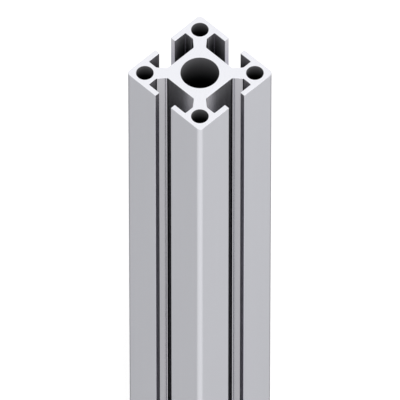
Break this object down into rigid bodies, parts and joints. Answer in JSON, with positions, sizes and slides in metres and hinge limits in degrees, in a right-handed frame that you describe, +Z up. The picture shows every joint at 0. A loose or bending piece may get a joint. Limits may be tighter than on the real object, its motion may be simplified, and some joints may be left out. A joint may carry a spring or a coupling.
{
  "type": "aluminium extrusion profile",
  "caption": "Straight square aluminium T-slot bar: a slot along each side, round core bore and corner holes along the length, sawn square at both ends; frame stock for nuts and brackets.",
  "frame": {"origin": "middle of the bar's foot end, on the axis of the core bore, in the plane it stands on", "axes": "+Z up along the bar's length, X and Y square to its sides"},
  "size_m": [0.04, 0.04, 0.3],
  "materials": {
    "bar": "satin natural anodised sides with fine die lines, bright sawn ends"
  },
  "bodies": {
    "root": {"bar": "bar"}
  },
  "joints": []
}
